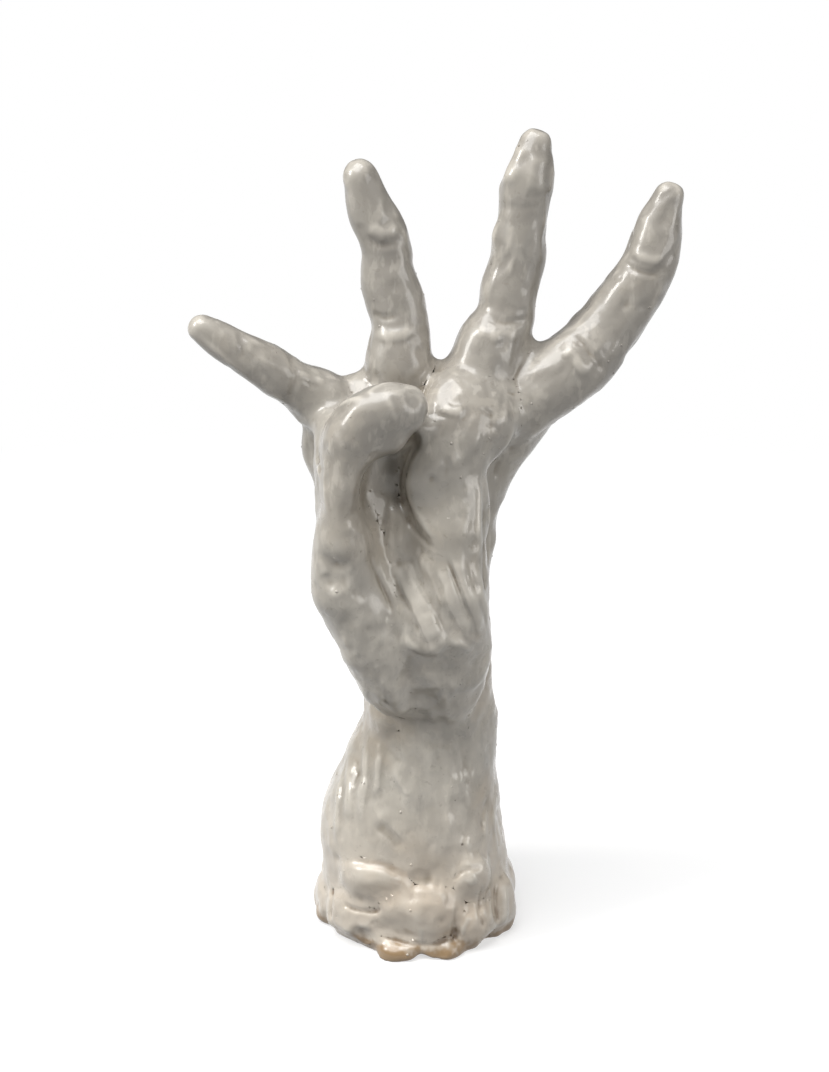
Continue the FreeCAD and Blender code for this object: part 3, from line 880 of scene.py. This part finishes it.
def handGlaze(name, changes):
    finish = dict(glaze, **changes)
    material = bpy.data.materials.new(name)
    tree = newTree(material)
    place = addNode(tree, "ShaderNodeTexCoord").outputs["Object"]
    hollow = addNode(tree, "ShaderNodeAttribute", {"attribute_name": "hollow"}).outputs["Fac"]
    deep = addNode(tree, "ShaderNodeAttribute", {"attribute_name": "deep"}).outputs["Fac"]
    height = addNode(tree, "ShaderNodeSeparateXYZ", links={0: place}).outputs["Z"]

    source = {"height": height, "hollow": hollow, "deep": deep}
    for label, settings in finish["noises"].items():
        source[label] = noiseOn(tree, place, *settings)
    brushed = ramp(tree, height, finish["brushedFrom"], finish["brushedTo"], finish["dipped"], 1.0)
    colour = finish["milk"]
    for label, low, high, share, tint in finish["layers"]:
        factor = times(tree, between(tree, source[label], low, high), share)
        if label in finish["brushed"]:
            factor = times(tree, factor, brushed)
        colour = mixed(tree, factor, colour, finish[tint])
    # bare tan clay where the foot was wiped, and under it
    wiped = addNode(tree, "ShaderNodeMath", {"operation": "MULTIPLY_ADD"}, {1: finish["wipedWaves"]},
                    {0: source["wipes"], 2: height})
    bare = between(tree, wiped.outputs[0], finish["wipedTo"] + finish["wipedEdge"], finish["wipedTo"])
    colour = mixed(tree, bare, colour, finish["clay"])
    # pinholes, where bubbles broke
    cells = addNode(tree, "ShaderNodeTexVoronoi", values={"Scale": 1000.0 / finish["pinholeMm"]},
                    links={"Vector": place})
    hole = ramp(tree, cells.outputs["Distance"], finish["pinholeRim"], finish["pinholeFloor"], 0.0, 1.0)
    hole = times(tree, hole, between(tree, source["bubbles"], finish["bubblyFrom"], finish["bubblyTo"]))
    colour = mixed(tree, times(tree, hole, finish["pinholeDark"]), colour, finish["pit"])

    normal = bumped(tree, source["ripple"], finish["ripple"])
    normal = bumped(tree, source["grain"], finish["grain"], normal)
    normal = bumped(tree, hole, finish["pinholes"], normal, invert=True)
    rough = ramp(tree, source["sheen"], finish["sheenFrom"], finish["sheenTo"],
                 finish["roughness"] - finish["smoother"], finish["roughness"] + finish["rougher"])
    shader = addNode(tree, "ShaderNodeBsdfPrincipled", values={
        "IOR": finish["ior"], "Coat Weight": finish["coat"], "Coat Roughness": finish["coatRoughness"]},
        links={"Base Color": colour, "Roughness": rough, "Normal": normal})
    addNode(tree, "ShaderNodeOutputMaterial", links={"Surface": shader.outputs["BSDF"]})
    return material


milky = handGlaze("milkyTinGlaze", {})
# the same glaze, worn thin on the pads of the foot, so that they are tanner and bare along the rim
thin = handGlaze("thinTinGlaze", {
    "warm": "#bea98f", "poolAndShade": "#7c6954", "clay": "#9c8364", "wipedTo": -0.0025,
})
for name, piece in pieces.items():
    piece.data.materials.append(thin if slotOf[name] == "thin_glaze" else milky)


# beads of glaze and crumbs of clay that stuck while it was dipped, scattered over the open skin

beads = {
    "perSquareMetre": 2600.0, "smallest": 0.00022, "largest": 0.0006, "seed": 4,
    "offBore": 2.0, "offBox": 1.5, "sharpest": -0.1,       # none lie nearer, in millimetres, or on ridges
}


def beadTree(material):
    tree = bpy.data.node_groups.new("glazeBeads", "GeometryNodeTree")
    tree.interface.new_socket("Geometry", in_out="INPUT", socket_type="NodeSocketGeometry")
    sockets = {}
    kinds = {"Per Square Metre": "Float", "Smallest": "Float", "Largest": "Float", "Seed": "Int"}
    for label, kind in kinds.items():
        socket = tree.interface.new_socket(label, in_out="INPUT", socket_type="NodeSocket" + kind)
        sockets[label] = socket.identifier
    tree.interface.new_socket("Geometry", in_out="OUTPUT", socket_type="NodeSocketGeometry")
    given = addNode(tree, "NodeGroupInput").outputs
    openSkin = addNode(tree, "GeometryNodeInputNamedAttribute", {"data_type": "FLOAT"}, {"Name": "openSkin"})
    spots = addNode(tree, "GeometryNodeDistributePointsOnFaces", {"distribute_method": "RANDOM"}, links={
        "Mesh": given["Geometry"], "Selection": openSkin.outputs["Attribute"],
        "Density": given["Per Square Metre"], "Seed": given["Seed"]})
    ball = addNode(tree, "GeometryNodeMeshIcoSphere", values={"Radius": 1.0, "Subdivisions": 2})
    dome = addNode(tree, "GeometryNodeTransform", values={"Scale": (1.0, 1.0, 0.5)},
                   links={"Geometry": ball.outputs["Mesh"]})
    width = addNode(tree, "FunctionNodeRandomValue", {"data_type": "FLOAT"})
    tree.links.new(given["Smallest"], width.inputs[2])
    tree.links.new(given["Largest"], width.inputs[3])
    tree.links.new(given["Seed"], width.inputs["Seed"])
    laid = addNode(tree, "GeometryNodeInstanceOnPoints", links={
        "Points": spots.outputs["Points"], "Instance": dome.outputs["Geometry"],
        "Rotation": spots.outputs["Rotation"], "Scale": width.outputs[1]})
    solid = addNode(tree, "GeometryNodeRealizeInstances", links={"Geometry": laid.outputs["Instances"]})
    smooth = addNode(tree, "GeometryNodeSetShadeSmooth", links={"Geometry": solid.outputs["Geometry"]})
    painted = addNode(tree, "GeometryNodeSetMaterial", {}, {"Material": material},
                      {"Geometry": smooth.outputs["Geometry"]})
    addNode(tree, "NodeGroupOutput", links={"Geometry": painted.outputs["Geometry"]})
    return tree, sockets


points, triangles, quads = skinOf(field, everywhere)
ground = meshFrom("beadGround", points, triangles, quads)
points = points.astype(np.float64)
outward = unit(slopeOf(field, points, step=1.5))
openSkin = np.all((points > solidLow + beads["offBox"]) & (points < solidHigh - beads["offBox"]), axis=1)
openSkin &= ~inBore(points, outward, more=beads["offBore"]) & (sampled(fineBlur, points) > beads["sharpest"])
addAttribute(ground, "openSkin", openSkin.astype(float))
beadPiece = bpy.data.objects.new("glaze_beads", ground)
bpy.context.collection.objects.link(beadPiece)
tree, sockets = beadTree(milky)
scatter = beadPiece.modifiers.new("scatter", "NODES")
scatter.node_group = tree
scatter[sockets["Per Square Metre"]] = beads["perSquareMetre"]
scatter[sockets["Smallest"]] = beads["smallest"]
scatter[sockets["Largest"]] = beads["largest"]
scatter[sockets["Seed"]] = beads["seed"]
bpy.context.view_layer.update()
baked = bpy.data.meshes.new_from_object(beadPiece.evaluated_get(bpy.context.evaluated_depsgraph_get()))
beadPiece.modifiers.clear()
beadPiece.data = baked
bpy.data.meshes.remove(ground)
baked.name = "glaze_beads"
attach(beadPiece, "root")
print("beads laid", len(baked.polygons), "faces")


# camera, floor and light

cameraData = bpy.data.cameras.new("camera")
cameraData.lens = view["lens"]
cameraData.sensor_width = view["sensor"]
cameraData.clip_end = 50
camera = bpy.data.objects.new("camera", cameraData)
bpy.context.collection.objects.link(camera)
camera.location = (eye + axisPlace) / 1000
camera.rotation_euler = (math.radians(90) - tilt, 0, 0)
bpy.context.scene.camera = camera

# the floor: it catches the shadow, turns to plain white away from the object, and throws little light back
stage = {"half": 6.0, "paper": "#b4b4b4", "glow": 0.62, "fadeFrom": 0.18, "fadeTo": 0.7, "bounce": "#5c5c5c"}
floorMesh = bpy.data.meshes.new("floor")
half = stage["half"]
floorMesh.from_pydata(
    [(-half, -half, 0), (half, -half, 0), (half, half, 0), (-half, half, 0)], [], [(0, 1, 2, 3)])
floor = bpy.data.objects.new("floor", floorMesh)
bpy.context.collection.objects.link(floor)
floorPaint = bpy.data.materials.new("whitePaper")
tree = newTree(floorPaint)
place = addNode(tree, "ShaderNodeTexCoord")
away = addNode(tree, "ShaderNodeVectorMath", {"operation": "LENGTH"}, links={0: place.outputs["Object"]})
fade = ramp(tree, away.outputs["Value"], stage["fadeFrom"], stage["fadeTo"], 0.0, 1.0)
paper = addNode(tree, "ShaderNodeBsdfDiffuse", values={"Color": linear(stage["paper"])})
glow = addNode(tree, "ShaderNodeEmission", values={"Color": (1, 1, 1, 1), "Strength": stage["glow"]})
both = addNode(tree, "ShaderNodeAddShader", links={0: paper.outputs[0], 1: glow.outputs[0]})
white = addNode(tree, "ShaderNodeEmission", values={"Color": (1, 1, 1, 1), "Strength": 1.0})
seen = addNode(tree, "ShaderNodeMixShader", links={0: fade, 1: both.outputs[0], 2: white.outputs[0]})
plain = addNode(tree, "ShaderNodeBsdfDiffuse", values={"Color": linear(stage["bounce"])})
path = addNode(tree, "ShaderNodeLightPath")
either = addNode(tree, "ShaderNodeMath", {"operation": "MAXIMUM"}, links={
    0: path.outputs["Is Camera Ray"], 1: path.outputs["Is Glossy Ray"]})
shown = addNode(tree, "ShaderNodeMixShader", links={
    0: either.outputs[0], 1: plain.outputs[0], 2: seen.outputs[0]})
addNode(tree, "ShaderNodeOutputMaterial", links={"Surface": shown.outputs[0]})
floorMesh.materials.append(floorPaint)

# a faint even light from all round, which the camera sees as white
sky = {"colour": (0.95, 0.97, 1.0, 1), "strength": 0.12}
world = bpy.data.worlds.new("studio")
bpy.context.scene.world = world
world.use_nodes = True
tree = world.node_tree
tree.nodes.clear()
path = addNode(tree, "ShaderNodeLightPath")
soft = addNode(tree, "ShaderNodeBackground", values={"Color": sky["colour"], "Strength": sky["strength"]})
white = addNode(tree, "ShaderNodeBackground", values={"Color": (1, 1, 1, 1), "Strength": 1.0})
shown = addNode(tree, "ShaderNodeMixShader", links={
    0: path.outputs["Is Camera Ray"], 1: soft.outputs[0], 2: white.outputs[0]})
addNode(tree, "ShaderNodeOutputWorld", links={"Surface": shown.outputs[0]})

# soft boxes: place, what they aim at, width, height, watts, colour
lamps = {
    "window": ((-1.5, -0.45, 1.2), (0, 0, 0.14), 0.5, 0.7, 20, (1.0, 0.985, 0.95)),
    "skylight": ((-0.45, -0.5, 1.95), (0, 0, 0.15), 1.5, 1.5, 44, (1.0, 1.0, 1.0)),
    "reflector": ((1.3, -0.9, 0.5), (0, 0, 0.1), 0.8, 0.8, 8, (1.0, 0.98, 0.95)),
}


def addLamp(name, place, aimAt, width, height, power, colour):
    data = bpy.data.lights.new(name, "AREA")
    data.shape = "RECTANGLE"
    data.size = width
    data.size_y = height
    data.energy = power
    data.color = colour
    lamp = bpy.data.objects.new(name, data)
    bpy.context.collection.objects.link(lamp)
    lamp.location = place
    away = np.array(place) - np.array(aimAt)
    lamp.rotation_euler = (math.acos(away[2] / np.linalg.norm(away)), 0, math.atan2(away[0], -away[1]))


for name, row in lamps.items():
    addLamp(name, *row)
print("stage set")

bpy.context.scene.view_settings.view_transform = "Standard"
